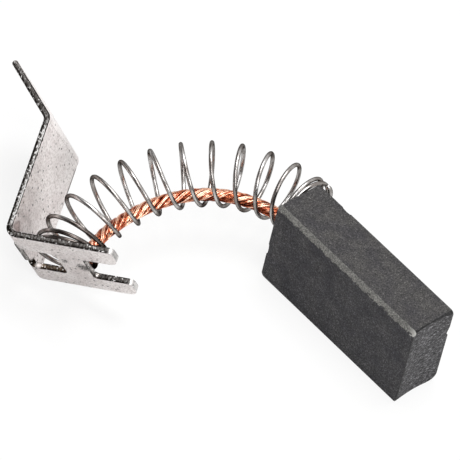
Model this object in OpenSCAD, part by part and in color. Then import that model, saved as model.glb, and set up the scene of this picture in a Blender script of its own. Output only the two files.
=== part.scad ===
// Carbon brush for a small commutator motor: a carbon block with a copper lead tamped into
// its rear face, a compression spring around the lead, and a bent contact strip that the
// lead is welded to. The brush is out of its holder, so the spring and the lead bow sideways
// and the strip leans on one corner.
//
// Frame: X runs along the block towards the commutator, Z is up. The origin is the centre of
// the narrow face that the block stands on. The strip's foot rests on the same plane.

/* [Carbon block] */
// Length of the block, from its rear face to its contact face
block_length = 22; // [12:0.5:40]
// Thickness of the block across its two large faces
block_thickness = 6; // [4:0.25:10]
// Height of the block as it stands
block_height = 11; // [8.5:0.25:18]
// Radius of the commutator that the contact face is worn to
contact_radius = 16.5; // [8:0.5:40]
// Width of the worn chamfer along the upper near edge
edge_chamfer = 0.5; // [0.2:0.05:1]
// Radius of the worn lower corner of the contact end
worn_corner_r = 1.1; // [0.3:0.1:2]
// Radius of the other softened corners
soft_corner_r = 0.5; // [0.2:0.1:1]
// Depth of the small chips along the edges
chip_depth = 0.25; // [0.1:0.05:0.5]
// Depth of the hole that holds the lead
bore_depth = 5.5; // [3:0.5:8]
// Radial thickness of the tamped copper powder around the lead
plug_wall = 0.45; // [0.2:0.05:0.8]
// How far the hole lies towards the far side of the block's middle
bore_side = 0.65; // [0:0.05:0.8]
// How far the hole lies below the middle of the block's height
bore_drop = 0.15; // [-0.5:0.05:0.5]

/* [Copper lead] */
// Diameter over the whole laid lead
lead_d = 1.5; // [0.9:0.1:2]
// Length of one turn of the strands, which are laid left-handed
lay_length = 8; // [5:0.5:14]
// How far the lead leaves the inside of the coil at mid-span
lead_slack = 0.15; // [0:0.05:0.5]

/* [Spring] */
// Wire diameter
wire_d = 0.5; // [0.3:0.05:0.7]
// Mean diameter of the coil
coil_d = 6.95; // [6:0.05:8]
// Open turns between the closed ends
open_turns = 12.25; // [10:0.05:14]
// Closed turns that bear on the block
block_turns = 1.65; // [1:0.05:3]
// Closed turns that bear on the strip
strip_turns = 1.2; // [1:0.05:3]
// Turns over which the coil opens, next to the strip
strip_ease = 3.4; // [1:0.1:5]
// Share by which the pitch grows from the block towards the strip
pitch_skew = 0.5; // [0:0.01:0.6]
// Lean of the open turns towards the block's far side
lean_side = 0.2; // [0:0.05:0.4]
// Lean of the open turns downwards
lean_down = 0.34; // [0:0.02:0.4]
// Lean of the open turns away from the block
lean_back = 0.18; // [0:0.02:0.4]
// Turns over which the coil takes up its lean, next to the strip
lean_ease = 2.7; // [1:0.1:5]

/* [Contact strip] */
// Thickness of the sheet
sheet_t = 0.7; // [0.4:0.05:0.9]
// Width of the strip
strip_w = 10.4; // [9.6:0.1:14]
// Outer length of the forked panel that the spring bears on
fork_l = 12.8; // [11.6:0.1:16]
// Outer length of the middle panel, from the fork's outer face to the tail's bend
mid_l = 14.3; // [10:0.1:20]
// Outer length of the tail
tail_l = 8.55; // [4:0.05:14]
// Angle that the tail is bent out of the middle panel
tail_angle = 46; // [20:1:80]
// Inside radius of the two bends
bend_r = 0.7; // [0.4:0.05:1]
// Width of the prong on the near edge
near_prong = 3.05; // [2:0.05:3.6]
// Width of the opening between the prongs
fork_gap = 4.6; // [3.5:0.1:5]
// Distance from the strip's heel to the web end of the window
window_end = 5.2; // [4:0.1:6]
// Distance from the strip's heel to the root of the fork
slot_start = 8.3; // [7.6:0.1:9.2]
// Height above the heel at which the window's cut ends in the middle panel
window_rise = 0.55; // [0.4:0.05:1]
// Large corner radius of the prongs, on their far side
prong_r = 1.4; // [0.8:0.1:1.8]
// Small corner radius of the prongs and openings
punch_r = 0.5; // [0.2:0.05:0.8]

/* [How it lies] */
// Distance of the strip's heel behind the block's rear face
heel_back = 14.56; // [10:0.1:18]
// Distance of the strip's heel to the near side of the block's middle
heel_side = 29.56; // [24:0.1:34]
// Compass heading of the middle panel, from the block's own direction
strip_heading = 123.6; // [110:0.2:135]
// Slope of the middle panel above the horizontal
strip_rise = 22.8; // [10:0.2:35]
// Roll of the strip about its middle panel
strip_roll = 160; // [145:0.5:175]
// Place of the coil's centre along the forked panel, from the heel
coil_seat_l = 5.15; // [5:0.05:5.4]
// Place of the coil's centre across the strip, from its near edge
coil_seat_w = 5.5; // [5:0.05:5.8]

/* [Hidden] */

$fn = 48;
// Clearance between pieces that touch
touch = 0.03;
// Overshoot of a cutting body
over = 1;
// Where two stretches of one sheet meet at an angle, the flat one runs into the bend by
// this much, and the bend stands proud of it by a tenth of that all round
seam = 0.1;
swell = seam / 10;

rear_x = -block_length / 2;
outer_r = bend_r + sheet_t;
far_prong_w = near_prong + fork_gap;
plug_recess = 0.3;
weld_h = 0.3;
strands = 6;
// Angle at which the worn corner runs out along the block
worn_run = 9;
tail_setback = bend_r * tan(tail_angle / 2);
mid_straight = mid_l - tail_setback;

// Strand size: round a core, the strands clear one another at their lay angle, with some
// room for the side of the lead that the bow presses together
bend_room = 0.18;
// The strands' middles run round a circle of about this share of the lead's diameter
lay_share = 0.7;
lay_angle = atan(PI * lead_d * lay_share / lay_length);
strand_share = sin(180 / strands) * cos(lay_angle) * (1 - bend_room);
strand_d = lead_d * strand_share / (1 + strand_share) - touch;
lay_r = (lead_d - strand_d) / 2;
core_d = 2 * lay_r - strand_d - 2 * touch;
bore_d = lead_d + 2 * plug_wall;
// The cut ends of the strands are square to the strands, so they need a little more room
end_gap = touch + strand_d / 2 * sin(lay_angle);
// The coil is drawn in straight steps, whose middles come a little inside its circle
coil_steps = 20;
lead_off = (coil_d * cos(180 / coil_steps) - wire_d - lead_d) / 2 - 2 * touch;

// --- How the strip lies: its own axes are X up the middle panel, Y along the fork and Z
// across the strip from the near edge to the far one.
strip_turn = [strip_roll, -strip_rise, strip_heading];
up_mid = [cos(strip_rise) * cos(strip_heading), cos(strip_rise) * sin(strip_heading),
          sin(strip_rise)];
level = [-sin(strip_heading), cos(strip_heading), 0];
along_fork = cos(strip_roll) * level + sin(strip_roll) * cross(up_mid, level);
across = cross(up_mid, along_fork);
// The far corner of the heel touches the plane that the block stands on
heel_z = outer_r * (norm([up_mid.z, along_fork.z]) - up_mid.z - along_fork.z)
         - strip_w * across.z;
heel = [rear_x - heel_back, -heel_side, heel_z];
function on_strip(up, along, over_w) = heel + up * up_mid + along * along_fork
                                       + over_w * across;

// --- Axis of the bowed spring: it leaves the block square to its rear face and arrives
// square to the forked panel. The lead hugs its inside.
block_psi = -37;
strip_psi = 0;
bore_y = bore_side;
bore_z = block_height / 2 - bore_drop;
closed_pitch = wire_d + touch;
block_seat = [rear_x - wire_d / 2 - touch, bore_y + lead_off * cos(block_psi),
              bore_z - lead_off * sin(block_psi)];
strip_seat = on_strip(sheet_t + wire_d / 2 + touch, coil_seat_l, coil_seat_w);
block_end = block_seat - [block_turns * closed_pitch, 0, 0];
strip_end = strip_seat + strip_turns * closed_pitch * up_mid;
// How far the bow runs on straight at each end, and the two points that draw it aside
block_exit = [-2.6, 0, 0];
block_pull = [-12, -5.5, 3.5];
strip_pull = [-3.4, 13, -0.2];
strip_exit = 5 * up_mid;
bow = [block_end, block_end + block_exit, block_end + block_pull, strip_end + strip_pull,
       strip_end + strip_exit, strip_end];
bow_steps = 60;

function bezier(c, u) = len(c) == 1 ? c[0]
    : bezier([for (i = [0:len(c) - 2]) c[i] * (1 - u) + c[i + 1] * u], u);
function sum_to(v) = [for (i = 0, s = 0 * v[0]; i < len(v); s = s + v[i], i = i + 1) s];

lead_start = [rear_x + bore_depth - end_gap, block_seat.y, block_seat.z];
axis_points = [lead_start, block_seat,
               for (i = [0:bow_steps]) bezier(bow, i / bow_steps), strip_seat,
               on_strip(sheet_t, coil_seat_l, coil_seat_w)];
axis_steps = [for (i = [1:len(axis_points) - 1]) norm(axis_points[i] - axis_points[i - 1]),
              0];
axis_s = sum_to(axis_steps);
axis_table = [for (k = [0:2]) [for (i = [0:len(axis_s) - 1]) [axis_s[i], axis_points[i][k]]]];
function axis_at(s) = [for (k = [0:2]) lookup(s, axis_table[k])];
function unit(v) = v / norm(v);
// Length either side of a point over which its heading is taken
feel = 0.3;
function heading(s) = unit(axis_at(s + feel) - axis_at(s - feel));
seat_s = axis_s[1];
lead_l = axis_s[len(axis_s) - 1] - touch - weld_h - end_gap;
bow_l = axis_s[2 + bow_steps] - axis_s[2];

function ease(x) = let (c = max(0, min(1, x))) c * c * (3 - 2 * c);

// --- Spring: advance along the axis for each step of the coil, then the helix itself
all_turns = block_turns + open_turns + strip_turns;
turn_list = [for (i = [0:floor(all_turns * coil_steps)]) i / coil_steps];
function openness(t) = let (a = t - block_turns)
    ease(min(a, (open_turns - a) / strip_ease))
    * (1 + pitch_skew * (a / open_turns - 0.5));
open_list = [for (t = turn_list) openness(t + 0.5 / coil_steps)];
open_sum = sum_to(open_list)[len(open_list) - 1];
open_pitch = (bow_l - closed_pitch * open_turns) / open_sum;
coil_s = sum_to([for (o = open_list) closed_pitch / coil_steps + open_pitch * o]);
start_angle = 135;

function ring_normal(s, t) = let (a = t - block_turns,
                                  k = ease(min(a, (open_turns - a) / lean_ease)))
    unit(heading(s) + k * [-lean_back, lean_side, -lean_down]);
function ring_point(centre, n, r, angle) = let (side = unit(cross([0, 0, 1], n)))
    centre + r * (cos(angle) * side + sin(angle) * cross(n, side));
coil_centres = [for (s = coil_s) axis_at(seat_s + s)];
coil_points = [for (i = [0:len(turn_list) - 1])
    ring_point(coil_centres[i], ring_normal(seat_s + coil_s[i], turn_list[i]), coil_d / 2,
               360 * turn_list[i] + start_angle)];

// --- Lead: a path that hugs the inside of the coil, with its strands laid round it
lead_segments = 62;
// Share of its length at which the lead starts to work round the coil, and how long it takes
psi_start = 0.6;
psi_run = 0.35;
function psi(s) = block_psi
    + (strip_psi - block_psi) * ease((s / lead_l - psi_start) / psi_run);
function off(s) = lead_off
    - lead_slack * pow(sin(180 * max(0, s - seat_s) / (lead_l - seat_s)), 2);
function hug_at(s) = ring_point(axis_at(s), heading(s), off(s), psi(s));
// The stiff lead takes the corners of that route more gently
lead_ease = 1.5;
ease_steps = [for (i = [-4:4]) i / 4];
function lead_at(s) = let (w = min(lead_ease, s, lead_l - s),
                           near = [for (i = ease_steps) hug_at(s + i * w)])
    sum_to(concat(near, [near[0]]))[len(near)] / len(near);
lead_s = [for (i = [0:lead_segments]) lead_l * i / lead_segments];
function strand_path(k) = [for (s = lead_s)
    let (n = unit(lead_at(min(s + feel, lead_l)) - lead_at(max(s - feel, 0))))
    ring_point(lead_at(s), n, lay_r, 360 * k / strands - 360 * s / lay_length)];

// Round wire swept along a path; its sections turn towards a guide point at each step
module wire(path, guide, d, sides = 8) {
    last = len(path) - 1;
    points = [for (i = [0:last])
        let (t = unit(path[min(i + 1, last)] - path[max(i - 1, 0)]),
             g = guide[i] - path[i],
             a = unit(g - (g * t) * t),
             b = cross(t, a))
        for (j = [0:sides - 1]) path[i] + d / 2 * (cos(360 * j / sides) * a
                                                   + sin(360 * j / sides) * b)];
    walls = [for (i = [0:last - 1]) for (j = [0:sides - 1]) let (k = (j + 1) % sides)
        [i * sides + j, (i + 1) * sides + j, (i + 1) * sides + k, i * sides + k]];
    polyhedron(points, [[for (j = [0:sides - 1]) j],
                        for (w = walls) [w[0], w[1], w[2]],
                        for (w = walls) [w[0], w[2], w[3]],
                        [for (j = [sides - 1:-1:0]) last * sides + j]]);
}

// What a round corner at the origin of a square leaves over
module corner(r) {
    difference() {
        translate([-over, -over]) square(r + over);
        translate([r, r]) circle(r);
    }
}

// Rectangle with its own radius at each corner, in order from the origin round by [l, 0]
module soft_square(l, w, radii) {
    difference() {
        square([l, w]);
        corner(radii[0]);
        translate([l, 0]) rotate(90) corner(radii[1]);
        translate([l, w]) rotate(180) corner(radii[2]);
        translate([0, w]) rotate(270) corner(radii[3]);
    }
}

// Places a shape at the block's rear end, contact end, near or far side, or top
module at_block(x, y, z) {
    translate([x * block_length / 2, y * block_thickness / 2, z * block_height])
        children();
}

// Side outline of the block, thickened, with the contact face worn hollow
module block_blank() {
    half = block_thickness / 2;
    // the wear reaches a hair past both side faces
    hollow = contact_radius - sqrt(pow(contact_radius, 2) - pow(half + touch, 2));
    difference() {
        translate([rear_x, half, 0]) rotate([90, 0, 0]) linear_extrude(block_thickness)
            soft_square(block_length, block_height,
                        [soft_corner_r, 0.5 * soft_corner_r, soft_corner_r,
                         0.2 * soft_corner_r]);
        translate([block_length / 2 + contact_radius - hollow, 0, -over])
            cylinder(r = contact_radius, h = block_height + 2 * over, $fn = 160);
    }
}

// Chamfer along the upper near edge, the worn lower far corner, and chips on the edges
module block_wear() {
    at_block(0, -1, 1) rotate([45, 0, 0])
        cube([block_length + 2 * over, edge_chamfer * sqrt(2), edge_chamfer * sqrt(2)],
             center = true);
    at_block(1, 1, 0) rotate([0, worn_run, worn_run]) rotate([180, -90, 0])
        translate([0, 0, -over]) linear_extrude(block_length / 2) corner(worn_corner_r);
    at_block(-0.58, 1, 1) rotate([45, 0, 8])
        cube([5 * chip_depth, chip_depth, chip_depth], center = true);
    at_block(1, 1, 0.72) rotate([0, 10, 45])
        cube([chip_depth, chip_depth, 5 * chip_depth], center = true);
    at_block(-1, -1, 0.38) rotate([0, -6, 45])
        cube([chip_depth, chip_depth, 6 * chip_depth], center = true);
}

module carbon_block() {
    color("#464648") difference() {
        block_blank();
        block_wear();
        translate([rear_x - over, bore_y, bore_z]) rotate([0, 90, 0])
            cylinder(d = bore_d, h = bore_depth + over);
    }
}

module tamping_plug() {
    color("#8a4a30") translate([rear_x + plug_recess, bore_y, bore_z]) rotate([0, 90, 0])
        difference() {
            cylinder(d = bore_d - 2 * touch, h = bore_depth - plug_recess - touch);
            translate([0, 0, -over])
                cylinder(d = lead_d + 2 * touch, h = bore_depth + 2 * over);
        }
}

module lead_core() {
    path = [for (s = lead_s) lead_at(s)];
    color("#b86a45") wire(path, strand_path(1), core_d);
}

module lead_strand(k) {
    color("#d98258") wire(strand_path(k), [for (s = lead_s) lead_at(s)], strand_d);
}

module spring() {
    color("#55555a") wire(coil_points, coil_centres, wire_d);
}

// A flat stretch of the sheet, drawn in the plane of the forked panel
module fork_sheet() {
    rotate([90, 0, 90]) linear_extrude(sheet_t) children();
}

// A flat stretch of the sheet, drawn in the plane of the middle panel
module mid_sheet() {
    translate([0, sheet_t, 0]) rotate([90, 0, 0]) linear_extrude(sheet_t) children();
}

// A bend of the sheet about Z, turning through the given angle from the X axis
module bend(angle, w, extra = 0) {
    rotate_extrude(angle = angle) translate([bend_r - extra, -extra])
        square([sheet_t + 2 * extra, w + 2 * extra]);
}

module fork_outline() {
    prong_l = fork_l - outer_r;
    far_prong = strip_w - far_prong_w;
    difference() {
        union() {
            translate([outer_r, 0]) square([slot_start - outer_r, strip_w]);
            translate([outer_r, 0])
                soft_square(prong_l, near_prong, [0, punch_r, prong_r, 0]);
            translate([outer_r, far_prong_w])
                soft_square(prong_l, far_prong, [0, punch_r, prong_r, 0]);
            translate([slot_start, near_prong]) root_fillet();
            translate([slot_start, far_prong_w]) mirror([0, 1]) root_fillet();
        }
        translate([outer_r - over, near_prong])
            soft_square(window_end - outer_r + over, fork_gap,
                        [0, 2 * punch_r, punch_r, 0]);
    }
}

module root_fillet() {
    difference() {
        square(punch_r);
        translate([punch_r, punch_r]) circle(punch_r);
    }
}

// Between the legs the middle panel runs on straight to the cut edge of the window
module mid_outline() {
    translate([outer_r, 0]) square([mid_straight - outer_r + seam, strip_w]);
    translate([window_rise, near_prong])
        soft_square(outer_r - window_rise, fork_gap, [punch_r, 0, 0, punch_r]);
}

module terminal() {
    color("#d6d2d0") translate(heel) rotate(strip_turn) {
        fork_sheet() fork_outline();
        mid_sheet() mid_outline();
        // two legs carry the sheet round the heel, either side of the window
        translate([outer_r, outer_r, 0]) rotate(180) bend(90, near_prong);
        translate([outer_r, outer_r, far_prong_w]) rotate(180)
            bend(90, strip_w - far_prong_w);
        translate([mid_straight, -bend_r, 0]) {
            rotate(90 - tail_angle) bend(tail_angle, strip_w, swell);
            rotate(-tail_angle) translate([-seam, bend_r, 0]) mid_sheet()
                soft_square(tail_l - tail_setback + seam, strip_w,
                            [0, punch_r, punch_r, 0]);
        }
    }
}

module lead_weld() {
    color("#9a6b52") translate(lead_at(lead_l) - (weld_h + end_gap) * up_mid)
        rotate(strip_turn) rotate([0, 90, 0]) cylinder(d = lead_d, h = weld_h);
}

carbon_block();
tamping_plug();
lead_core();
lead_strand(1);  // lead_strand_1
lead_strand(2);  // lead_strand_2
lead_strand(3);  // lead_strand_3
lead_strand(4);  // lead_strand_4
lead_strand(5);  // lead_strand_5
lead_strand(6);  // lead_strand_6
spring();
terminal();
lead_weld();
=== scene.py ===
"""Carbon brush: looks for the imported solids.

The plug, lead core and weld keep their CAD solids' shapes, and the block only has its edges
softened. The spring is swept again as a truly round wire, and each strand of the lead is
drawn as a bunch of fine wires, on the same route as the solids. The contact strip is its
solid's own mesh, with the sheared end rolled over. Lengths below are millimetres, turned to
metres by MM.
"""

from math import cos, pi, radians, sin, sqrt, tan

import bmesh
import bpy
import numpy as np
from mathutils import Matrix, Vector


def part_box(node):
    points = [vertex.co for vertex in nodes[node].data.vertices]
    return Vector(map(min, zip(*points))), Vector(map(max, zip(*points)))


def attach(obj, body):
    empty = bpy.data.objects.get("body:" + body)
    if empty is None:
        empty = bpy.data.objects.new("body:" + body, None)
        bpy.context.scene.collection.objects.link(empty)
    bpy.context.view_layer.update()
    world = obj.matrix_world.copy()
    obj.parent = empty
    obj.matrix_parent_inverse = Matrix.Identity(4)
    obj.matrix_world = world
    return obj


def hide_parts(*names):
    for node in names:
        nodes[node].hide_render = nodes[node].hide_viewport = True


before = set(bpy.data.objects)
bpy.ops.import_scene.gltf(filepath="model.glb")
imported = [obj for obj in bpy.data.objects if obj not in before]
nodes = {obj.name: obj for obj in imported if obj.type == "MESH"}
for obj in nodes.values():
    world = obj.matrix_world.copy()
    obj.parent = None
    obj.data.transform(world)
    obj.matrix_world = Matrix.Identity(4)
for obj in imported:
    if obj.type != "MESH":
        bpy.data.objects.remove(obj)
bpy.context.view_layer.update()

MM = 0.001

# ---------------------------------------------------------------- sizes of the solids
block_low, block_high = (np.array(corner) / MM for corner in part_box("carbon_block"))
rear_x = block_low[0]
contact_x = block_high[0]
near_y = block_low[1]
block_height = block_high[2]
edge_chamfer = 0.5
bore_side = 0.65
bore_drop = 0.15
bore_depth = 5.5

lead_d = 1.5
lay_length = 8
lead_slack = 0.15

wire_d = 0.5
coil_d = 6.95
open_turns = 12.25
block_turns = 1.65
strip_turns = 1.2
strip_ease = 3.4
pitch_skew = 0.5
lean = np.array([-0.18, 0.2, -0.34])
lean_ease = 2.7
start_angle = 135
coil_steps = 20

sheet_t = 0.7
strip_w = 10.4
bend_r = 0.7
outer_r = bend_r + sheet_t
fork_l = 12.8
near_prong = 3.05
fork_gap = 4.6
far_prong = near_prong + fork_gap  # where the far prong starts
window_end = 5.2
heel_back = 14.56
heel_side = 29.56
strip_heading = radians(123.6)
strip_rise = radians(22.8)
strip_roll = radians(160)
coil_seat_l = 5.15
coil_seat_w = 5.5
tail_angle = radians(46)
mid_l = 14.3
tail_l = 8.55
tail_corner = 0.5
mid_straight = mid_l - bend_r * tan(tail_angle / 2)
tail_straight = tail_l - bend_r * tan(tail_angle / 2)

touch = 0.03
weld_h = 0.3
margin = 0.01  # how near a face a point still counts as on it

# ---------------------------------------------------------------- how the strip lies
up_mid = np.array([cos(strip_rise) * cos(strip_heading),
                   cos(strip_rise) * sin(strip_heading), sin(strip_rise)])
level = np.array([-sin(strip_heading), cos(strip_heading), 0])
along_fork = cos(strip_roll) * level + sin(strip_roll) * np.cross(up_mid, level)
across = np.cross(up_mid, along_fork)
heel_z = (outer_r * (sqrt(up_mid[2] ** 2 + along_fork[2] ** 2) - up_mid[2] - along_fork[2])
          - strip_w * across[2])
heel = np.array([rear_x - heel_back, -heel_side, heel_z])


def on_strip(up, along, over_w):
    return heel + up * up_mid + along * along_fork + over_w * across


def past_tail_bend(p):
    """A point's place along the tail from its bend, and square to it from the bend's axis."""
    up, along = (p - heel) @ up_mid - mid_straight, (p - heel) @ along_fork + bend_r
    return (up * cos(tail_angle) - along * sin(tail_angle),
            up * sin(tail_angle) + along * cos(tail_angle))


def through_sheet(p):
    """How far through the sheet a point is: 0 on the outer skin, 1 on the inner one."""
    up, along, over_w = (p - heel) @ up_mid, (p - heel) @ along_fork, (p - heel) @ across
    tongue = (near_prong - margin < over_w < far_prong + margin
              and along < sheet_t + margin)
    if along > outer_r:
        depth = up
    elif up < outer_r and not tongue:
        depth = outer_r - sqrt((outer_r - up) ** 2 + (outer_r - along) ** 2)
    elif up < mid_straight:
        depth = along
    else:
        run, off = past_tail_bend(p)
        depth = (off if run > 0 else sqrt(run ** 2 + off ** 2)) - bend_r
    return depth / sheet_t


# ---------------------------------------------------------------- route of the spring
def unit(v):
    return v / np.linalg.norm(v)


def ease(x):
    c = min(1, max(0, x))
    return c * c * (3 - 2 * c)


def bezier(points, u):
    points = [np.array(p, float) for p in points]
    while len(points) > 1:
        points = [a * (1 - u) + b * u for a, b in zip(points, points[1:])]
    return points[0]


lead_off = (coil_d * cos(pi / coil_steps) - wire_d - lead_d) / 2 - 2 * touch
# the lead lies on this side of the coil at its two ends, and turns from one to the other
block_psi, strip_psi = radians(-37), 0
psi_start, psi_run = 0.6, 0.35
closed_pitch = wire_d + touch
block_seat = np.array([rear_x - wire_d / 2 - touch, bore_side + lead_off * cos(block_psi),
                       block_height / 2 - bore_drop - lead_off * sin(block_psi)])
strip_seat = on_strip(sheet_t + wire_d / 2 + touch, coil_seat_l, coil_seat_w)
block_end = block_seat - [block_turns * closed_pitch, 0, 0]
strip_end = strip_seat + strip_turns * closed_pitch * up_mid
# the control points that bow the axis from the block to the strip
bow = [block_end, block_end - [2.6, 0, 0], block_end + [-12, -5.5, 3.5],
       strip_end + [-3.4, 13, -0.2], strip_end + 5 * up_mid, strip_end]
bow_steps = 60
axis_points = np.array([[rear_x + bore_depth - touch, block_seat[1], block_seat[2]], block_seat]
                       + [bezier(bow, i / bow_steps) for i in range(bow_steps + 1)]
                       + [strip_seat, on_strip(sheet_t, coil_seat_l, coil_seat_w)])
axis_s = np.concatenate([[0], np.cumsum(np.linalg.norm(np.diff(axis_points, axis=0), axis=1))])
seat_s = axis_s[1]
lead_l = axis_s[-1] - touch - weld_h
bow_l = axis_s[2 + bow_steps] - axis_s[2]
feel = 0.3  # how far to both sides the axis is felt for its heading


def axis_at(s):
    return np.array([np.interp(s, axis_s, axis_points[:, k]) for k in range(3)])


def heading(s):
    return unit(axis_at(s + feel) - axis_at(s - feel))


def ring_point(centre, normal, r, angle):
    side = unit(np.cross([0, 0, 1], normal))
    return centre + r * (cos(angle) * side + sin(angle) * np.cross(normal, side))


all_turns = block_turns + open_turns + strip_turns


def openness(t):
    a = t - block_turns
    opening = ease(min(a, (open_turns - a) / strip_ease))
    return opening * (1 + pitch_skew * (a / open_turns - 0.5))


coarse_turns = np.arange(int(all_turns * coil_steps) + 1) / coil_steps
opens = np.array([openness(t + 0.5 / coil_steps) for t in coarse_turns])
open_pitch = (bow_l - closed_pitch * open_turns) / opens.sum()
coil_s = np.concatenate([[0], np.cumsum(closed_pitch / coil_steps + open_pitch * opens)])[:-1]


def coil_point(t, r):
    """A point of the coil's wire after t turns from the block."""
    a = t - block_turns
    s = seat_s + np.interp(t, coarse_turns, coil_s)
    normal = unit(heading(s) + ease(min(a, (open_turns - a) / lean_ease)) * lean)
    return ring_point(axis_at(s), normal, r, 2 * pi * t + radians(start_angle))


# ---------------------------------------------------------------- route of the lead
def psi(s):
    return block_psi + (strip_psi - block_psi) * ease((s / lead_l - psi_start) / psi_run)


def hug_at(s):
    off = lead_off - lead_slack * sin(pi * max(0, s - seat_s) / (lead_l - seat_s)) ** 2
    return ring_point(axis_at(s), heading(s), off, psi(s))


def lead_at(s, lead_ease=1.5):
    """A point of the lead: the mean of nine within lead_ease of it, so that no kink is left."""
    w = min(lead_ease, s, lead_l - s)
    return np.mean([hug_at(s + i * w / 4) for i in range(-4, 5)], axis=0)


# ---------------------------------------------------------------- meshes
def new_piece(name, vertices, faces, smooth=True):
    """A mesh object in the row frame, from vertices in millimetres."""
    mesh = bpy.data.meshes.new(name)
    mesh.from_pydata([tuple(v) for v in np.asarray(vertices) * MM], [], faces)
    mesh.update()
    if smooth:
        mesh.shade_smooth()
    piece = bpy.data.objects.new(name, mesh)
    bpy.context.scene.collection.objects.link(piece)
    return piece


def sweep(path, radius, sides):
    """Vertices and faces of a round wire along a path, with flat cut ends."""
    path = np.asarray(path)
    tangents = np.gradient(path, axis=0)
    tangents /= np.linalg.norm(tangents, axis=1)[:, None]
    normal = unit(np.cross(tangents[0], [0.3, 0.5, 0.8]))
    angles = 2 * pi * np.arange(sides) / sides
    radii = np.broadcast_to(radius, len(path))
    vertices = []
    for p, t, r in zip(path, tangents, radii):
        normal = unit(normal - (normal @ t) * t)
        other = np.cross(t, normal)
        vertices.append(p + r * (np.cos(angles)[:, None] * normal
                                 + np.sin(angles)[:, None] * other))
    faces = [(i * sides + j, i * sides + (j + 1) % sides,
              (i + 1) * sides + (j + 1) % sides, (i + 1) * sides + j)
             for i in range(len(path) - 1) for j in range(sides)]
    last = (len(path) - 1) * sides
    faces.append(tuple(range(sides - 1, -1, -1)))
    faces.append(tuple(range(last, last + sides)))
    return np.concatenate(vertices), faces


def join(parts):
    """One list of vertices and faces out of several."""
    vertices, faces, start = [], [], 0
    for v, f in parts:
        vertices.append(v)
        faces += [tuple(i + start for i in face) for face in f]
        start += len(v)
    return np.concatenate(vertices), faces


# ---------------------------------------------------------------- materials
# rough places in the plating: where, how far they reach, how softly they end, how rough
rough_places = [((0, 7.85, 5.2), 0.4, 0.9, 0.3), ((0, 6.0, 4.2), 0.2, 0.6, 0.25),
                ((0.1, 0.4, 3.2), 0.5, 2.4, 0.2)]
heel_patch_place = (1.4, sheet_t, 1.1)
grey_corner_place = (13.6, sheet_t, 8.2)
window_corner_highlight_place = (0.35, 1.5, far_prong)
weld_place = (1.2, 6.7, near_prong + fork_gap / 2)
panel_span = 20  # a ramp's 0 to 1 is this far up the middle panel


def colour(code):
    """A linear colour from an sRGB hex value."""
    parts = [int(code[i:i + 2], 16) / 255 for i in (1, 3, 5)]
    return [c / 12.92 if c <= 0.04045 else ((c + 0.055) / 1.055) ** 2.4 for c in parts] + [1]


def add(tree, kind, settings, links=None):
    """Adds a node. Settings are its properties and its sockets' values; links feed sockets."""
    node = tree.nodes.new("ShaderNode" + kind)
    for key, value in settings.items():
        if key == "stops":
            stops = node.color_ramp.elements
            while len(stops) < len(value):
                stops.new(1)
            for stop, (place, code) in zip(stops, value):
                stop.position = place
                stop.color = colour(code)
        elif isinstance(key, str) and hasattr(node, key):
            setattr(node, key, value)
        else:
            node.inputs[key].default_value = value
    for socket, source in (links or {}).items():
        tree.links.new(source, node.inputs[socket])
    return node


def new_material(name):
    """An empty material, with its shader, output, and a point in millimetres."""
    material = bpy.data.materials.new(name)
    material.use_nodes = True
    tree = material.node_tree
    tree.nodes.clear()
    shader = add(tree, "BsdfPrincipled", {})
    add(tree, "OutputMaterial", {}, {"Surface": shader.outputs[0]})
    place = add(tree, "TexCoord", {})
    point = add(tree, "VectorMath", {"operation": "SCALE", "Scale": 1 / MM},
                {0: place.outputs["Object"]})
    return material, tree, shader, point.outputs[0]


def dress(tree, shader, tone, bump, roughness, metallic=1):
    """Gives the shader its colour, bump, roughness and metal."""
    shader.inputs["Metallic"].default_value = metallic
    shader.inputs["Roughness"].default_value = roughness
    tree.links.new(tone, shader.inputs["Base Color"])
    if bump:
        tree.links.new(bump.outputs[0], shader.inputs["Normal"])


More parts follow.
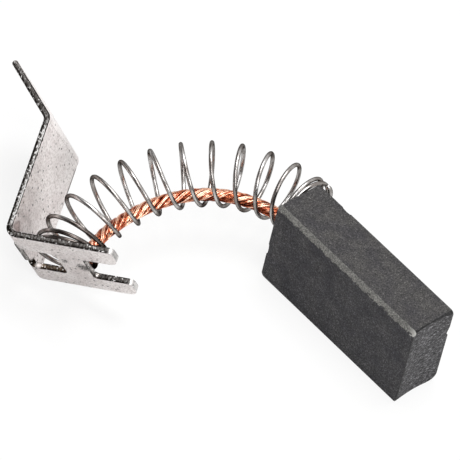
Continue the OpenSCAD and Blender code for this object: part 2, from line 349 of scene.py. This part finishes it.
def graphite():
    """Pressed and baked electrographite, sawn to size: matt, nearly black, with fine grain and
    open pores. Its worn chamfer is polished to a lighter grey, and the contact face is
    scored by the commutator."""
    material, tree, shader, point = new_material("electrographite")
    # grains of the pressed powder are about 0.1 mm
    grain = add(tree, "TexNoise", {"Scale": 1 / 0.14, "Detail": 2, "Roughness": 0.65},
                {"Vector": point})
    # cloudy mixing of the powder, some 2 mm across
    cloud = add(tree, "TexNoise", {"Scale": 1 / 2.2, "Detail": 3}, {"Vector": point})
    body = add(tree, "ValToRGB", {"stops": [(0.28, "#181817"), (0.42, "#373635"),
                                            (0.6, "#514f4e"), (0.74, "#82807c")]},
               {"Fac": grain.outputs["Fac"]})
    shade = add(tree, "ValToRGB", {"stops": [(0.32, "#cbcbd6"), (0.66, "#ffffff")]},
                {"Fac": cloud.outputs["Fac"]})
    body = add(tree, "Mix", {"data_type": "RGBA", "blend_type": "MULTIPLY", 0: 1},
               {6: body.outputs[0], 7: shade.outputs[0]})
    facing = add(tree, "NewGeometry", {})
    toward = add(tree, "SeparateXYZ", {}, {0: facing.outputs["True Normal"]})
    # the sawn near side is painted a little darker and bluer than the pressed top: painted shade
    # on the side turned from the lamps
    side = add(tree, "MapRange", {"From Min": -0.6, "From Max": -0.9},
               {"Value": toward.outputs["Y"]})
    body = add(tree, "Mix", {"data_type": "RGBA", "blend_type": "MULTIPLY",
                             7: colour("#f1f2fb")},
               {0: side.outputs[0], 6: body.outputs[2]})
    # the contact face: coarser broken grain, drawn out along the commutator's run
    run = add(tree, "VectorMath", {"operation": "MULTIPLY", 1: (1, 0.5, 1)}, {0: point})
    score = add(tree, "TexNoise", {"Scale": 1 / 0.2, "Detail": 4, "Roughness": 0.8},
                {"Vector": run.outputs[0]})
    worn = add(tree, "ValToRGB", {"stops": [(0.36, "#060606"), (0.46, "#323133"),
                                            (0.57, "#555456"), (0.68, "#a3a2a5")]},
               {"Fac": score.outputs["Fac"]})
    contact = add(tree, "MapRange", {"From Min": 0.2, "From Max": 0.35},
                  {"Value": toward.outputs["X"]})
    # crumbs broken from the edges are about 0.4 mm
    crumbs = add(tree, "TexNoise", {"Scale": 1 / 0.45, "Detail": 3, "Roughness": 0.6},
                 {"Vector": point})
    where = add(tree, "SeparateXYZ", {}, {0: point})
    from_side = add(tree, "Math", {"operation": "SUBTRACT", 1: near_y}, {0: where.outputs["Y"]})
    from_top = add(tree, "Math", {"operation": "SUBTRACT", 0: block_height},
                   {1: where.outputs["Z"]})
    # the rim of the contact face is darker, raggedly
    rim = add(tree, "Math", {"operation": "MINIMUM"},
              {0: from_side.outputs[0], 1: from_top.outputs[0]})
    rim = add(tree, "Math", {"operation": "MULTIPLY_ADD", 1: 0.4},
              {0: crumbs.outputs["Fac"], 2: rim.outputs[0]})
    rim = add(tree, "MapRange", {"From Min": 0.38, "From Max": 0.52, "To Min": 0.2, "To Max": 1},
              {"Value": rim.outputs[0]})
    worn = add(tree, "Mix", {"data_type": "RGBA", "blend_type": "MULTIPLY", 0: 1},
               {6: worn.outputs[0], 7: rim.outputs[0]})
    body = add(tree, "Mix", {"data_type": "RGBA"},
               {0: contact.outputs[0], 6: body.outputs[2], 7: worn.outputs[2]})
    # the worn chamfer: straight along the top face, ragged down the side face
    ragged = add(tree, "MapRange", {"From Min": 0.32, "From Max": 0.68, "To Min": -0.14,
                                    "To Max": 0.2}, {"Value": crumbs.outputs["Fac"]})
    down = add(tree, "Math", {"operation": "ADD"},
               {0: from_top.outputs[0], 1: ragged.outputs[0]})
    away = add(tree, "Math", {"operation": "MAXIMUM"},
               {0: from_side.outputs[0], 1: down.outputs[0]})
    chamfer = add(tree, "MapRange", {"From Min": edge_chamfer + 0.05,
                                     "From Max": edge_chamfer - 0.02},
                  {"Value": away.outputs[0]})
    polish = add(tree, "ValToRGB", {"stops": [(0.3, "#454543"), (0.5, "#676663"),
                                              (0.72, "#94938f")]},
                 {"Fac": grain.outputs["Fac"]})
    # a painted highlight makes it palest in the last millimetre before the contact face
    chamfer_end_highlight = add(tree, "MapRange", {"From Min": contact_x - 1.1, "From Max": contact_x,
                                    "To Max": 0.8}, {"Value": where.outputs["X"]})
    polish = add(tree, "Mix", {"data_type": "RGBA", 7: colour("#b4b3af")},
                 {0: chamfer_end_highlight.outputs[0], 6: polish.outputs[0]})
    body = add(tree, "Mix", {"data_type": "RGBA"},
               {0: chamfer.outputs[0], 6: body.outputs[2], 7: polish.outputs[2]})
    height = add(tree, "Math", {"operation": "MULTIPLY_ADD", 1: 0.5},
                 {0: grain.outputs["Fac"], 2: score.outputs["Fac"]})
    rounded = add(tree, "Bevel", {"samples": 6, "Radius": 0.12 * MM})
    bump = add(tree, "Bump", {"Strength": 0.7, "Distance": 0.08 * MM},
               {"Height": height.outputs[0], "Normal": rounded.outputs[0]})
    shader.inputs["Specular IOR Level"].default_value = 0.3
    dress(tree, shader, body.outputs[2], bump, 0.7, metallic=0)
    return material


def soft_copper():
    """Annealed copper wire, drawn bare and bunched: bright salmon metal on the outermost wires,
    with red-brown painted shade, and some tarnish, down between the wires and along the
    underside."""
    material, tree, shader, point = new_material("annealed_copper_wire")
    # how far out of the lead a wire's surface stands: the deeper, the darker, as painted shade
    # between the wires with some tarnish; it also carries each wire's tone, the painted shade of
    # the underside and the weld's heat tarnish
    bared = add(tree, "Attribute", {"attribute_name": "bared"})
    # patches of tarnish about 0.6 mm long
    patch = add(tree, "TexNoise", {"Scale": 1 / 0.6, "Detail": 3, "Roughness": 0.6},
                {"Vector": point})
    patch = add(tree, "MapRange", {"From Min": 0.3, "From Max": 0.7, "To Min": -0.3,
                                   "To Max": 0.3}, {"Value": patch.outputs["Fac"]})
    copper_shade_and_tarnish = add(tree, "Math", {"operation": "ADD"},
                 {0: bared.outputs["Fac"], 1: patch.outputs[0]})
    tone = add(tree, "ValToRGB", {"stops": [(0.2, "#260e0a"), (0.55, "#883922"),
                                            (0.8, "#cf7754"), (1, "#fbccb1")]},
               {"Fac": copper_shade_and_tarnish.outputs[0]})
    # drawing marks, drawn 0.06 mm wide so that they show
    marks = add(tree, "TexNoise", {"Scale": 1 / 0.06, "Detail": 1}, {"Vector": point})
    bump = add(tree, "Bump", {"Strength": 0.2, "Distance": 0.02 * MM},
               {"Height": marks.outputs["Fac"]})
    dress(tree, shader, tone.outputs[0], bump, 0.26)
    return material


def core_copper():
    """The same wire at the heart of the lead, painted dull dark brown as the shade that fills
    the middle of the lead."""
    material, tree, shader, point = new_material("shade_dark_core_copper_wire")
    patch = add(tree, "TexNoise", {"Scale": 1 / 0.5, "Detail": 3}, {"Vector": point})
    tone = add(tree, "ValToRGB", {"stops": [(0.3, "#2c110b"), (0.7, "#6b2f1d")]},
               {"Fac": patch.outputs["Fac"]})
    dress(tree, shader, tone.outputs[0], None, 0.5)
    return material


def copper_powder():
    """Copper powder tamped round the lead: brown, matt and crumbly, with bright flecks."""
    material, tree, shader, point = new_material("tamped_copper_powder")
    fleck = add(tree, "TexNoise", {"Scale": 1 / 0.12, "Detail": 2, "Roughness": 0.7},
                {"Vector": point})
    tone = add(tree, "ValToRGB", {"stops": [(0.35, "#4a2a20"), (0.6, "#8a4c34"),
                                            (0.75, "#c88a68")]},
               {"Fac": fleck.outputs["Fac"]})
    bump = add(tree, "Bump", {"Strength": 0.6, "Distance": 0.05 * MM},
               {"Height": fleck.outputs["Fac"]})
    dress(tree, shader, tone.outputs[0], bump, 0.6, metallic=0.6)
    return material


def spring_steel():
    """Patented cold-drawn spring wire, coiled and left bare: dark smooth steel, with a narrow
    bright gleam along it, drawing marks and a slight brown bloom."""
    material, tree, shader, point = new_material("drawn_spring_steel")
    bloom = add(tree, "TexNoise", {"Scale": 1 / 1.6, "Detail": 3}, {"Vector": point})
    tone = add(tree, "ValToRGB", {"stops": [(0.3, "#817975"), (0.5, "#aca8a5"),
                                            (0.7, "#d4d2d1")]},
               {"Fac": bloom.outputs["Fac"]})
    # painted shade darkens the end turns on the strip, near the weld
    heated = near_spot(tree, point, weld_place, 3.9, 1)
    tone = add(tree, "Mix", {"data_type": "RGBA", "blend_type": "MULTIPLY",
                             7: colour("#8a8482")}, {0: heated, 6: tone.outputs[0]})
    # drawing marks, drawn 0.08 mm wide so that they show
    marks = add(tree, "TexNoise", {"Scale": 1 / 0.08, "Detail": 2}, {"Vector": point})
    bump = add(tree, "Bump", {"Strength": 0.06, "Distance": 0.02 * MM},
               {"Height": marks.outputs["Fac"]})
    # the drawn skin is dark where it is seen aslant
    shader.inputs["Specular Tint"].default_value = colour("#3a3735")
    dress(tree, shader, tone.outputs[2], bump, 0.27)
    return material


def strip_distances(tree, point):
    """A point's distances up the middle panel, along the fork and over the strip's width."""
    place = add(tree, "VectorMath", {"operation": "SUBTRACT", 1: tuple(heel)}, {0: point})
    return [add(tree, "VectorMath", {"operation": "DOT_PRODUCT", 1: tuple(axis)},
                {0: place.outputs[0]}).outputs["Value"]
            for axis in (up_mid, along_fork, across)]


def near_spot(tree, point, place, reach, soft):
    """1 within reach of a place on the strip, falling to 0 over a soft border."""
    away = add(tree, "VectorMath", {"operation": "DISTANCE", 1: tuple(on_strip(*place))},
               {0: point})
    return add(tree, "MapRange", {"From Min": reach + soft, "From Max": reach},
               {"Value": away.outputs["Value"]}).outputs[0]


def tinned_sheet():
    """Tin-plated steel sheet, rolled, punched and bent: pale warm grey and half bright, finely
    mottled, with small dark pits, and rough dots where the lead was welded to its back."""
    material, tree, shader, point = new_material("tinned_steel_sheet")
    # soft waves of the rolled surface, and its mottled grain
    wave = add(tree, "TexNoise", {"Scale": 1 / 2.5, "Detail": 2}, {"Vector": point})
    grain = add(tree, "TexNoise", {"Scale": 1 / 0.24, "Detail": 3, "Roughness": 0.75},
                {"Vector": point})
    face = add(tree, "ValToRGB", {"stops": [(0.34, "#bab2b0"), (0.46, "#e6dfdd"),
                                            (0.62, "#fbf6f5")]},
               {"Fac": grain.outputs["Fac"]})
    shade = add(tree, "ValToRGB", {"stops": [(0.35, "#efecec"), (0.6, "#ffffff")]},
                {"Fac": wave.outputs["Fac"]})
    face = add(tree, "Mix", {"data_type": "RGBA", "blend_type": "MULTIPLY", 0: 1},
               {6: face.outputs[0], 7: shade.outputs[0]})
    # pits in the plating, about one to a square millimetre, 0.05 to 0.2 mm across
    cell = add(tree, "TexVoronoi", {"Scale": 1 / 0.75}, {"Vector": point})
    pits = add(tree, "MapRange", {"From Min": 0.2, "From Max": 0.12},
               {"Value": cell.outputs["Distance"]})
    # near the heel, and where the weld shows, the plating is rough and broken
    rough = grain.outputs["Fac"]
    for place, reach, soft, depth in rough_places:
        spot = near_spot(tree, point, place, reach, soft)
        rough = add(tree, "Math", {"operation": "MULTIPLY_ADD", 1: depth},
                    {0: spot, 2: rough}).outputs[0]
    rough = add(tree, "MapRange", {"From Min": 0.68, "From Max": 0.76}, {"Value": rough})
    marks = add(tree, "Math", {"operation": "MAXIMUM"},
                {0: pits.outputs[0], 1: rough.outputs[0]})
    tone = add(tree, "Mix", {"data_type": "RGBA", 7: colour("#47423f")},
               {0: marks.outputs[0], 6: face.outputs[2]})
    # the far corner of the middle panel is painted greyer, and a dark line down its far edge is
    # a painted shadow of that edge
    worn = near_spot(tree, point, grey_corner_place, 0.5, 5.5)
    up, _, over_w = strip_distances(tree, point)
    far_edge_shadow = add(tree, "MapRange", {"From Min": strip_w - 0.3, "From Max": strip_w - 0.2},
               {"Value": over_w})
    share = add(tree, "Math", {"operation": "DIVIDE", 1: panel_span}, {0: up})
    span = add(tree, "ValToRGB", {"stops": [(0.42, "#000000"), (0.52, "#ffffff"),
                                            (0.66, "#ffffff"), (0.68, "#000000")]},
               {"Fac": share.outputs[0]})
    far_edge_shadow = add(tree, "Math", {"operation": "MULTIPLY"},
               {0: far_edge_shadow.outputs[0], 1: span.outputs[0]})
    worn = add(tree, "Math", {"operation": "MULTIPLY", 1: 0.35}, {0: worn})
    worn = add(tree, "Math", {"operation": "MAXIMUM"},
               {0: worn.outputs[0], 1: far_edge_shadow.outputs[0]})
    tone = add(tree, "Mix", {"data_type": "RGBA", 7: colour("#6e6b69")},
               {0: worn.outputs[0], 6: tone.outputs[2]})
    # a darker, brownish patch in the corner of the heel, with a darker rim
    heel_patch = near_spot(tree, point, heel_patch_place, 0.4, 0.9)
    uneven = add(tree, "TexNoise", {"Scale": 1 / 1.2, "Detail": 2}, {"Vector": point})
    heel_patch = add(tree, "Math", {"operation": "MULTIPLY"},
                {0: heel_patch, 1: uneven.outputs["Fac"]})
    rim = add(tree, "ValToRGB", {"stops": [(0.1, "#ffffff"), (0.25, "#bbb0af"),
                                           (0.4, "#d8cecc"), (0.55, "#dfd6d4")]},
              {"Fac": heel_patch.outputs[0]})
    tone = add(tree, "Mix", {"data_type": "RGBA", "blend_type": "MULTIPLY", 0: 1},
               {6: tone.outputs[2], 7: rim.outputs[0]})
    depth = add(tree, "Math", {"operation": "MULTIPLY_ADD", 1: -2},
                {0: marks.outputs[0], 2: grain.outputs["Fac"]})
    rounded = add(tree, "Bevel", {"samples": 6, "Radius": 0.08 * MM})
    bump = add(tree, "Bump", {"Strength": 0.2, "Distance": 0.04 * MM},
               {"Height": depth.outputs[0], "Normal": rounded.outputs[0]})
    dress(tree, shader, tone.outputs[2], bump, 0.3, metallic=0.8)
    return material


def sheared_edge():
    """The sheet's punched edges, bare steel: torn grain drawn out through the thickness, with
    bright flecks painted as glints, painted highlights in the window's corner and on the prong
    ends, and along the middle panel the punch's line, painted bright as its highlight."""
    material, tree, shader, point = new_material("sheared_steel_edge")
    up, along, over_w = strip_distances(tree, point)
    drawn = add(tree, "Math", {"operation": "MULTIPLY", 1: 0.35}, {0: up})
    drawn = add(tree, "CombineXYZ", {}, {0: along, 1: over_w, 2: drawn.outputs[0]})
    torn = add(tree, "TexNoise", {"Scale": 1 / 0.2, "Detail": 2, "Roughness": 0.7},
               {"Vector": drawn.outputs[0]})
    tear = add(tree, "ValToRGB", {"stops": [(0.36, "#554f4c"), (0.48, "#8b8581"),
                                            (0.64, "#bfbab6")]},
               {"Fac": torn.outputs["Fac"]})
    # how plainly the punch's marks and their painted highlights show: most on the middle panel,
    # least on the tail
    share = add(tree, "Math", {"operation": "DIVIDE", 1: panel_span}, {0: up})
    plain = add(tree, "ValToRGB", {"stops": [(0.05, "#2a2a2a"), (0.1, "#ffffff"),
                                             (0.66, "#ffffff"), (0.76, "#1c1c1c")]},
                {"Fac": share.outputs[0]})
    through = add(tree, "Attribute", {"attribute_name": "through"})
    # flecks of bare metal, painted bright as glints, thickest in the middle of the edge
    middle = add(tree, "ValToRGB", {"stops": [(0.36, "#000000"), (0.46, "#ffffff"),
                                              (0.58, "#ffffff"), (0.64, "#000000")]},
                 {"Fac": through.outputs["Fac"]})
    middle = add(tree, "Math", {"operation": "MULTIPLY"},
                 {0: middle.outputs[0], 1: plain.outputs[0]})
    fleck = add(tree, "TexNoise", {"Scale": 1 / 0.25, "Detail": 2, "Roughness": 0.7},
                {"Vector": point})
    fleck = add(tree, "Math", {"operation": "MULTIPLY_ADD", 1: 0.13},
                {0: middle.outputs[0], 2: fleck.outputs["Fac"]})
    fleck = add(tree, "MapRange", {"From Min": 0.6, "From Max": 0.66},
                {"Value": fleck.outputs[0]})
    # the punch's burnished line, painted bright as its highlight, 0.1 mm wide, broken every
    # millimetre or so
    broken = add(tree, "TexNoise", {"Scale": 1 / 0.7, "Detail": 2, "Roughness": 0.6},
                 {"Vector": point})
    level = add(tree, "MapRange", {"From Min": 0.3, "From Max": 0.7, "To Min": -0.06,
                                   "To Max": 0.06}, {"Value": broken.outputs["Fac"]})
    level = add(tree, "Math", {"operation": "ADD"},
                {0: through.outputs["Fac"], 1: level.outputs[0]})
    line = add(tree, "ValToRGB", {"stops": [(0.62, "#000000"), (0.67, "#ffffff"),
                                            (0.79, "#ffffff"), (0.84, "#000000")]},
               {"Fac": level.outputs[0]})
    gaps = add(tree, "MapRange", {"From Min": 0.42, "From Max": 0.5},
               {"Value": torn.outputs["Fac"]})
    for kept in (gaps, plain):
        line = add(tree, "Math", {"operation": "MULTIPLY"},
                   {0: line.outputs[0], 1: kept.outputs[0]})
    # a painted highlight in the corner of the window
    window_corner_highlight = near_spot(tree, point, window_corner_highlight_place, 0.05, 0.4)
    # the prongs' rounded ends are painted pale, as a highlight
    ends = add(tree, "MapRange", {"From Min": fork_l - 0.65, "From Max": fork_l - 0.3,
                                  "To Max": 0.5}, {"Value": along})
    painted_highlights = fleck
    for more in (line.outputs[0], window_corner_highlight, ends.outputs[0]):
        painted_highlights = add(tree, "Math", {"operation": "MAXIMUM"}, {0: painted_highlights.outputs[0], 1: more})
    # both skin sides of the edge are darker: the rough torn zone, with painted shade on it; and
    # the window's far side is painted darker olive, as shade inside the window
    torn_and_shaded_skin = add(tree, "ValToRGB", {"stops": [(0.25, "#6e6a68"), (0.5, "#ffffff"),
                                            (0.8, "#ffffff"), (0.88, "#625e5c")]},
               {"Fac": through.outputs["Fac"]})
    far_side = add(tree, "MapRange", {"From Min": far_prong - 0.75,
                                      "From Max": far_prong - 0.55}, {"Value": over_w})
    window = add(tree, "MapRange", {"From Min": window_end + 0.3,
                                    "From Max": window_end + 0.1}, {"Value": along})
    window_side_shade = add(tree, "Math", {"operation": "MULTIPLY"},
                  {0: far_side.outputs[0], 1: window.outputs[0]})
    window_side_shade = add(tree, "ValToRGB", {"stops": [(0, "#ffffff"), (1, "#968c7c")]},
                  {"Fac": window_side_shade.outputs[0]})
    tear = tear.outputs[0]
    for over in (torn_and_shaded_skin, window_side_shade):
        tear = add(tree, "Mix", {"data_type": "RGBA", "blend_type": "MULTIPLY", 0: 1},
                   {6: tear, 7: over.outputs[0]}).outputs[2]
    tone = add(tree, "Mix", {"data_type": "RGBA", 7: colour("#fbf9f7")},
               {0: painted_highlights.outputs[0], 6: tear})
    # the painted highlights are made matt rather than metal, so that they show bright
    mirror = add(tree, "MapRange", {"To Min": 1, "To Max": 0.2},
                 {"Value": painted_highlights.outputs[0]})
    rounded = add(tree, "Bevel", {"samples": 6, "Radius": 0.08 * MM})
    bump = add(tree, "Bump", {"Strength": 0.4, "Distance": 0.05 * MM},
               {"Height": torn.outputs["Fac"], "Normal": rounded.outputs[0]})
    dress(tree, shader, tone.outputs[2], bump, 0.3)
    tree.links.new(mirror.outputs[0], shader.inputs["Metallic"])
    return material


def weld_metal():
    """Copper and steel fused by a resistance weld: lumpy, brown and grey."""
    material, tree, shader, point = new_material("resistance_weld")
    lump = add(tree, "TexNoise", {"Scale": 1 / 0.4, "Detail": 3}, {"Vector": point})
    tone = add(tree, "ValToRGB", {"stops": [(0.35, "#4b3a33"), (0.65, "#a87860")]},
               {"Fac": lump.outputs["Fac"]})
    bump = add(tree, "Bump", {"Strength": 0.8, "Distance": 0.1 * MM},
               {"Height": lump.outputs["Fac"]})
    dress(tree, shader, tone.outputs[0], bump, 0.5)
    return material


def paint(piece, material):
    """Gives a piece one material, on the object's own slot."""
    if not piece.material_slots:
        piece.data.materials.append(None)
    for slot in piece.material_slots:
        slot.link = "OBJECT"
        slot.material = material


# ---------------------------------------------------------------- camera
camera_data = bpy.data.cameras.new("camera")
camera = bpy.data.objects.new("camera", camera_data)
bpy.context.scene.collection.objects.link(camera)
bpy.context.scene.camera = camera
camera_data.lens = 483.545
camera_data.sensor_width = 36
camera_data.clip_start = 0.01
camera_data.clip_end = 10
camera_place = Vector((273.868, -369.155, 491.529)) * MM
# its axes point to the right, up and back
camera_axes = Matrix(((0.653101, -0.623871, 0.429237), (0.739052, 0.401520, -0.540911),
                      (0.165111, 0.670498, 0.723305)))
camera.matrix_world = Matrix.Translation(camera_place) @ camera_axes.to_4x4()

# ---------------------------------------------------------------- spring
turn_steps = 48
wire_sides = 16
# the solid is faceted, so the round wire is drawn a little smaller to stay inside it
coil_r = coil_d / 2 - 0.035
wire_r = wire_d / 2 - 0.01
coil_path = [coil_point(t, coil_r)
             for t in np.linspace(0, int(all_turns * coil_steps) / coil_steps,
                                  int(all_turns * turn_steps))]
spring = new_piece("compression_spring", *sweep(coil_path, wire_r, wire_sides))
paint(spring, spring_steel())
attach(spring, "root")
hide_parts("spring")

# ---------------------------------------------------------------- lead
strands = 6
bunch_r = 0.45  # thickness of a bunch, from the lead's core out
bunch_w = 0.56  # width of a bunch, pressed against its neighbours
fine_d = 0.19  # the fine wires are about 0.07 mm, drawn thicker so that they show
fine_wires = 7
fine_sides = 6
heart_r = 0.3 * bunch_r  # the wire in the middle of a bunch
bunch_turn = 40  # length of one turn of the fine wires in their bunch
# how often and how far a fine wire strays round its bunch and sinks into it
stray_step, stray_reach = 2, 0.2
sink_step, sink_reach = 1.5, 0.09
tone_reach = 0.2  # how far the wires differ in brightness
# a surface is painted in shade, with some tarnish, at the first share of the lead's radius, and
# bright further out
dark_r, bare_r = 0.55, 0.42
shaded_side_direction = np.array([0.6, -0.45, -0.66])
underside_shade_depth, heat_dulling = 0.3, 0.15
heat_l, heat_fade = 4, 2.5  # the end that the weld heated, and how it starts
lay_r = (lead_d - bunch_r) / 2
lead_steps = 360
lead_s = np.linspace(0, lead_l, lead_steps)
lead_path = np.array([lead_at(s) for s in lead_s])
lead_tangent = np.gradient(lead_path, axis=0)
lead_tangent /= np.linalg.norm(lead_tangent, axis=1)[:, None]
bright_copper = soft_copper()
seed = np.random.default_rng(7)


def strand_path(k):
    return np.array([ring_point(p, n, lay_r, 2 * pi * (k / strands - s / lay_length))
                     for p, n, s in zip(lead_path, lead_tangent, lead_s)])


def wander(step, reach):
    """A smooth random course along the lead, with a new value every so many millimetres."""
    places = np.arange(-step, lead_l + 2 * step, step)
    return np.interp(lead_s, places, seed.normal(0, reach, len(places)))


for k in range(1, strands + 1):
    middle = strand_path(k)
    tangent = np.gradient(middle, axis=0)
    tangent /= np.linalg.norm(tangent, axis=1)[:, None]
    outward = middle - lead_path
    outward -= (outward * tangent).sum(1)[:, None] * tangent
    outward /= np.linalg.norm(outward, axis=1)[:, None]
    sideways = np.cross(tangent, outward)
    parts = [sweep(middle, heart_r, fine_sides)]
    tones = [0]
    for j in range(fine_wires):
        angle = (2 * pi * (j / fine_wires + lead_s / bunch_turn)
                 + wander(stray_step, stray_reach))
        sink = 1 - np.abs(wander(sink_step, sink_reach))
        path = (middle
                + (sink * (bunch_r - fine_d) / 2 * np.cos(angle))[:, None] * outward
                + (sink * (bunch_w - fine_d) / 2 * np.sin(angle))[:, None] * sideways)
        parts.append(sweep(path, fine_d / 2, fine_sides))
        tones.append(seed.normal(0, tone_reach))
    vertices, faces = join(parts)
    strand = new_piece(f"lead_bunch_{k}", vertices, faces)
    # how far out of the lead each point stands, which paints shade between the wires, and how
    # bright its wire is
    rings = np.tile(np.repeat(np.arange(lead_steps), fine_sides), fine_wires + 1)
    offset = (vertices - lead_path[rings]) / (lead_d / 2)
    stand = (np.linalg.norm(offset, axis=1) - dark_r) / bare_r
    # its underside is painted in shade, and the weld's heat tarnished its end
    underside_shade = np.clip(offset @ shaded_side_direction, 0, 1)
    heated = np.clip((lead_s[rings] - lead_l + heat_l) / heat_fade, 0, 1)
    bared = (stand + np.repeat(tones, lead_steps * fine_sides)
             - underside_shade_depth * underside_shade - heat_dulling * heated)
    strand.data.attributes.new("bared", "FLOAT", "POINT").data.foreach_set(
        "value", bared.astype(np.float32))
    paint(strand, bright_copper)
    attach(strand, "root")
    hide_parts(f"lead_strand_{k}")

# ---------------------------------------------------------------- contact strip
roll_r = 0.3
strip_mesh = nodes["terminal"].data.copy()
strip_mesh.name = "contact_strip"
shape = bmesh.new()
shape.from_mesh(strip_mesh)
bmesh.ops.remove_doubles(shape, verts=shape.verts, dist=0.001 * MM)
bmesh.ops.dissolve_limit(shape, angle_limit=radians(0.5), verts=shape.verts,
                         edges=shape.edges)
# the cropped end of the tail is rolled over by the shears
tail_end = []
for edge in shape.edges:
    ends = [past_tail_bend(np.array(v.co) / MM) for v in edge.verts]
    at_end = min(run for run, off in ends) > tail_straight - tail_corner - 2 * margin
    on_one_skin = abs(ends[0][1] - ends[1][1]) < sheet_t / 7
    if at_end and on_one_skin:
        tail_end.append(edge)
bmesh.ops.bevel(shape, geom=tail_end, offset=roll_r * MM, segments=4, profile=0.5,
                affect="EDGES")
shape.to_mesh(strip_mesh)
shape.free()
strip = bpy.data.objects.new("contact_strip", strip_mesh)
bpy.context.scene.collection.objects.link(strip)
corners = np.array([v.co for v in strip_mesh.vertices]) / MM
depths = np.array([through_sheet(p) for p in corners])
strip_mesh.attributes.new("through", "FLOAT", "POINT").data.foreach_set(
    "value", depths.astype(np.float32))
strip_mesh.materials.clear()
strip_mesh.materials.append(tinned_sheet())
strip_mesh.materials.append(sheared_edge())
# a face is cut metal if it looks across the strip or runs through the sheet; its corners are
# felt a little inside it, so that they do not lie on a neighbour
for face in strip_mesh.polygons:
    middle = np.array(face.center) / MM
    depth = [through_sheet(p + 2 * margin * unit(middle - p))
             for p in corners[list(face.vertices)]]
    looks_across = abs(np.array(face.normal) @ across) > 0.5
    cut = looks_across or min(depth) < 0.8 and max(depth) > 0.2
    face.material_index = int(cut)
    face.use_smooth = False
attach(strip, "root")
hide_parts("terminal")

# ---------------------------------------------------------------- solids that keep their shape
paint(nodes["carbon_block"], graphite())
# sawn corners crumble, so none of the block's edges is sharp
crumbled = nodes["carbon_block"].modifiers.new("crumbled_edges", "BEVEL")
crumbled.width = 0.22 * MM
crumbled.segments = 2
crumbled.limit_method = "ANGLE"
crumbled.angle_limit = radians(25)
paint(nodes["tamping_plug"], copper_powder())
paint(nodes["lead_core"], core_copper())
paint(nodes["lead_weld"], weld_metal())

# ---------------------------------------------------------------- floor, world and lamps
def seen_rays(tree):
    """The light path, and 1 for the rays that should meet plain white."""
    path = add(tree, "LightPath", {})
    rays = path.outputs["Is Camera Ray"]
    for kind in ("Is Glossy Ray", "Is Transmission Ray"):
        rays = add(tree, "Math", {"operation": "MAXIMUM"},
                   {0: rays, 1: path.outputs[kind]}).outputs[0]
    return path, rays


wide = 900
floor = new_piece("floor", [(-wide, -wide, 0), (wide, -wide, 0), (wide, wide, 0),
                            (-wide, wide, 0)], [(0, 1, 2, 3)], smooth=False)
floor_material = bpy.data.materials.new("white_card")
floor_material.use_nodes = True
tree = floor_material.node_tree
tree.nodes.clear()
seen, any_ray = seen_rays(tree)
card = add(tree, "BsdfDiffuse", {"Color": colour("#f4f4f3")})
# the card keeps some of its own shading, and so the part's shadow
share = add(tree, "MapRange", {"To Min": 0.84, "To Max": 0.3},
            {"Value": seen.outputs["Is Glossy Ray"]})
# metal sees the card end in front of the part
where = add(tree, "TexCoord", {})
where = add(tree, "SeparateXYZ", {}, {0: where.outputs["Object"]})
card_end = add(tree, "MapRange", {"From Min": -45 * MM, "From Max": -5 * MM, "To Min": 0.2},
               {"Value": where.outputs["Y"]})
card_end = add(tree, "Mix", {"data_type": "RGBA", 6: colour("#ffffff")},
               {0: seen.outputs["Is Glossy Ray"], 7: card_end.outputs[0]})
glow = add(tree, "Emission", {}, {"Color": card_end.outputs[2], "Strength": any_ray})
lit = add(tree, "MixShader", {}, {0: share.outputs[0], 1: card.outputs[0],
                                  2: glow.outputs[0]})
plain = add(tree, "MixShader", {}, {0: any_ray, 1: card.outputs[0], 2: lit.outputs[0]})
add(tree, "OutputMaterial", {}, {"Surface": plain.outputs[0]})
paint(floor, floor_material)

world = bpy.data.worlds.new("studio")
bpy.context.scene.world = world
world.use_nodes = True
tree = world.node_tree
tree.nodes.clear()
seen, any_ray = seen_rays(tree)
strength = add(tree, "MapRange", {"To Min": 0.28, "To Max": 1}, {"Value": any_ray})
# metal sees the white backdrop behind and overhead, and the dim room in front
toward = add(tree, "TexCoord", {})
toward = add(tree, "VectorMath", {"operation": "DOT_PRODUCT", 1: (0.1, 0.6, 0.8)},
             {0: toward.outputs["Generated"]})
backdrop = add(tree, "MapRange", {"From Min": 0.25, "From Max": 0.8, "To Min": 0.15,
                                  "To Max": 1}, {"Value": toward.outputs["Value"]})
dim = add(tree, "Mix", {"data_type": "RGBA", 6: colour("#ffffff")},
          {0: seen.outputs["Is Glossy Ray"], 7: backdrop.outputs[0]})
sky = add(tree, "Background", {},
          {"Color": dim.outputs[2], "Strength": strength.outputs[0]})
add(tree, "OutputWorld", {}, {"Surface": sky.outputs[0]})


# square softboxes aimed at the middle of the part: name, place, size and power
part_middle = Vector((-0.013, -0.01, 0.005))
for name, place, size, power in (("key", (-0.04, 0.1, 0.5), 0.3, 2.0),
                                 ("side", (0.5, 0.0, 0.25), 0.25, 1.0),
                                 ("front", (0.2, -0.2, 0.42), 0.2, 0.7)):
    data = bpy.data.lights.new(name, "AREA")
    data.shape = "SQUARE"
    data.size = size
    data.energy = power
    light = bpy.data.objects.new(name, data)
    light.location = place
    aim = part_middle - light.location
    light.rotation_euler = aim.to_track_quat("-Z", "Y").to_euler()
    bpy.context.scene.collection.objects.link(light)

bpy.context.scene.view_settings.view_transform = "Standard"
